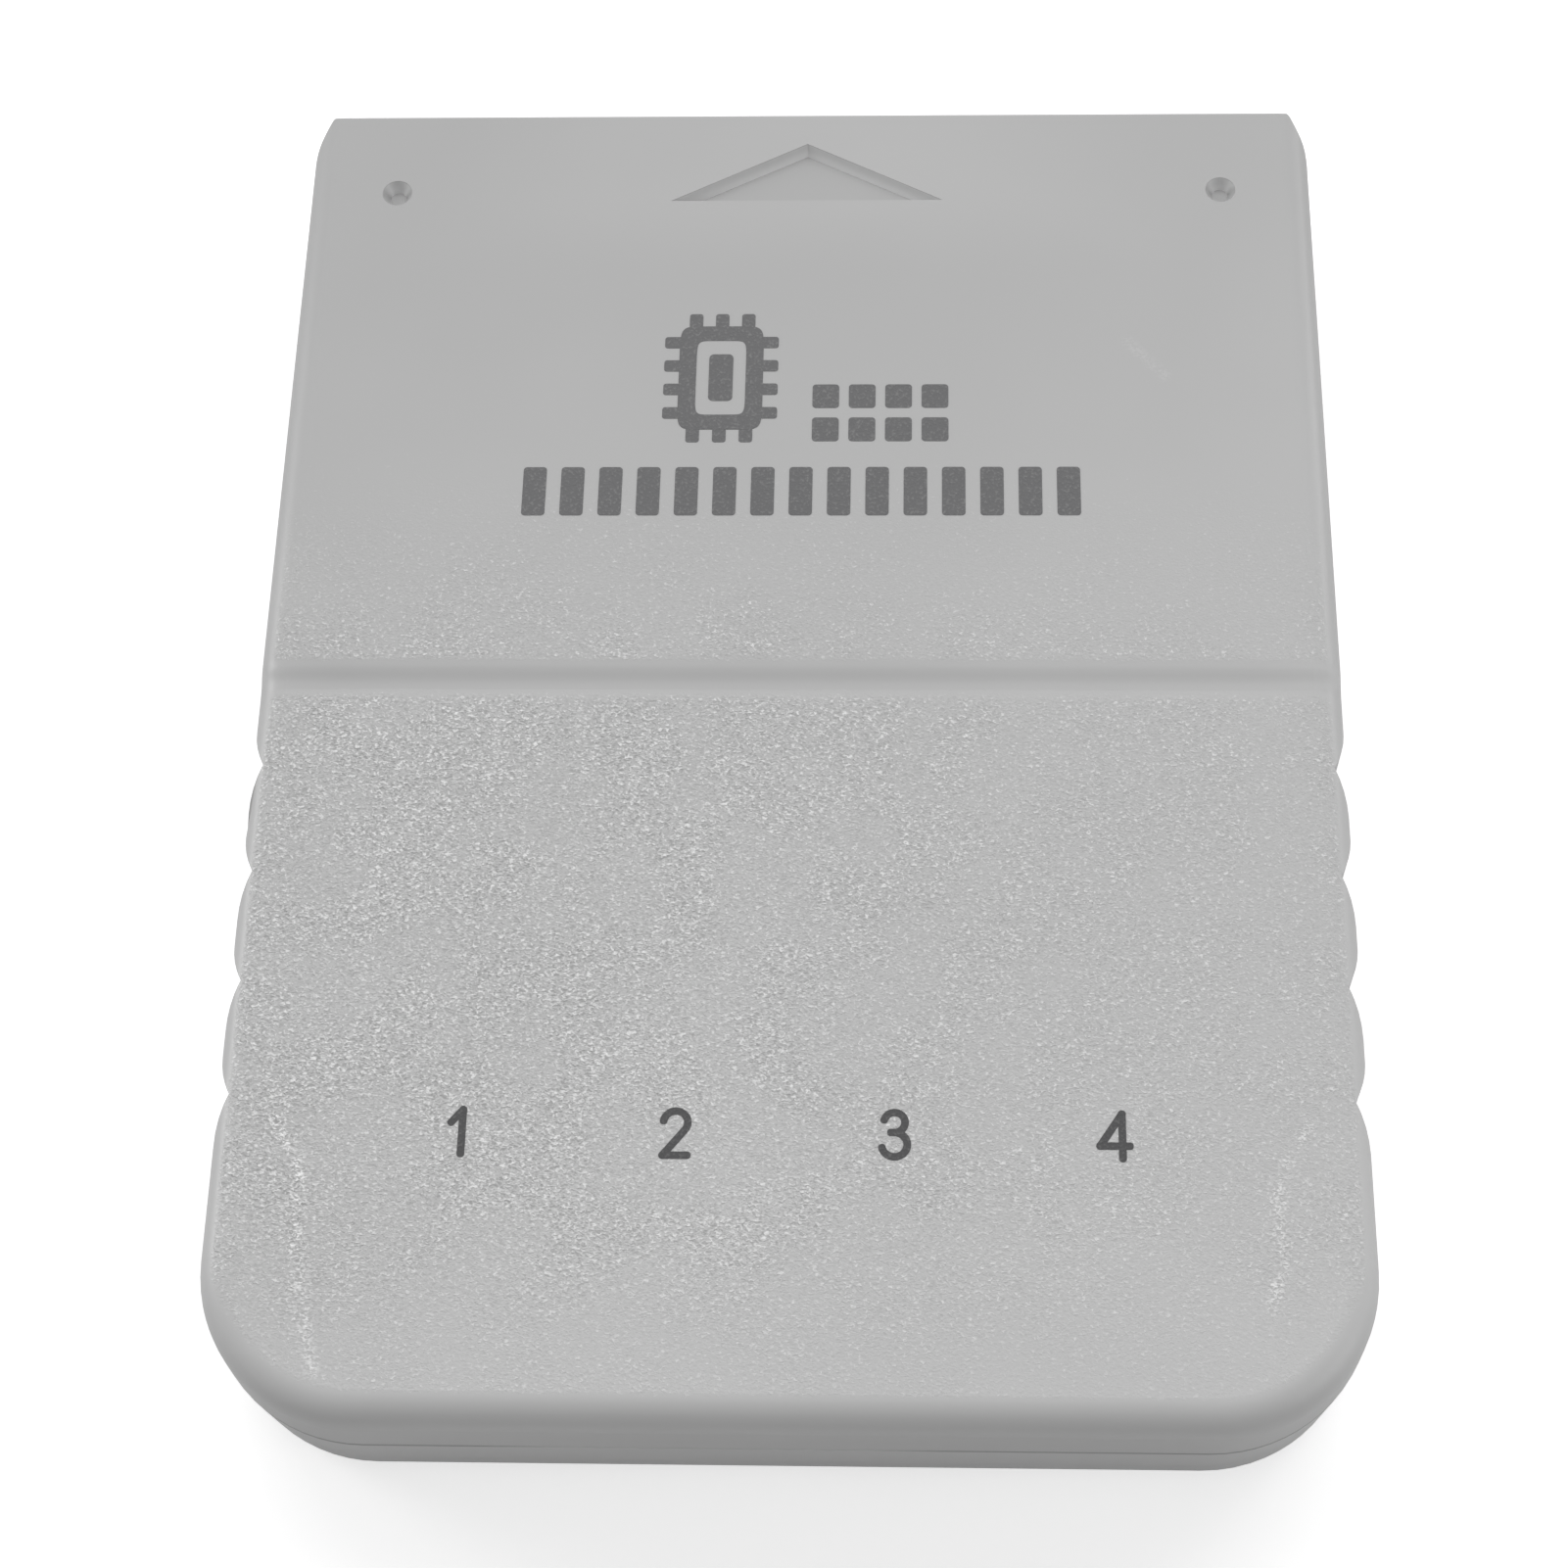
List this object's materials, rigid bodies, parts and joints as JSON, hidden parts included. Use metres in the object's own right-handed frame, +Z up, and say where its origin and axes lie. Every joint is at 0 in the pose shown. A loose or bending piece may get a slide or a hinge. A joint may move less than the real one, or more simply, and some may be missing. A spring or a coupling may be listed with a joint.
{
  "type": "console memory card",
  "caption": "Flat grey plug-in memory card: a stepped two-shell case with a scalloped grip, an arrow mark and a recessed contact comb at the nose.",
  "frame": {"origin": "middle of the flat underside, at the centre of the card's length and width", "axes": "+X to the right seen from above with the grip near, +Y from the grip end to the nose that goes into the console, +Z up out of the top face"},
  "size_m": [0.043, 0.0578, 0.0076],
  "materials": {
    "case_grey": "spark-eroded matt grey",
    "board_green": "green solder mask on glass fibre",
    "contact_gold": "bright gold plate",
    "chip_black": "black moulding compound with tinned legs",
    "lamp_clear": "clear cast lens on a white carrier",
    "resistor_black": "dark glaze with tinned ends",
    "capacitor_tan": "fired ceramic with tinned ends",
    "resonator_metal": "nickel-plated lid",
    "screw_zinc": "zinc plate"
  },
  "bodies": {
    "root": {"top_shell": "case_grey", "bottom_shell": "case_grey", "circuit_board": "board_green", "controller_chip": "chip_black", "memory_chip": "chip_black", "resonator": "resonator_metal", "case_screw": "screw_zinc", "contact_finger_1": "contact_gold", "contact_finger_2": "contact_gold", "contact_finger_3": "contact_gold", "contact_finger_4": "contact_gold", "contact_finger_5": "contact_gold", "contact_finger_6": "contact_gold", "contact_finger_7": "contact_gold", "contact_finger_8": "contact_gold", "page_lamp_1": "lamp_clear", "page_lamp_2": "lamp_clear", "page_lamp_3": "lamp_clear", "page_lamp_4": "lamp_clear", "lamp_resistor_1": "resistor_black", "lamp_resistor_2": "resistor_black", "lamp_resistor_3": "resistor_black", "lamp_resistor_4": "resistor_black", "capacitor_1": "capacitor_tan", "capacitor_2": "capacitor_tan", "capacitor_3": "capacitor_tan"}
  },
  "joints": []
}
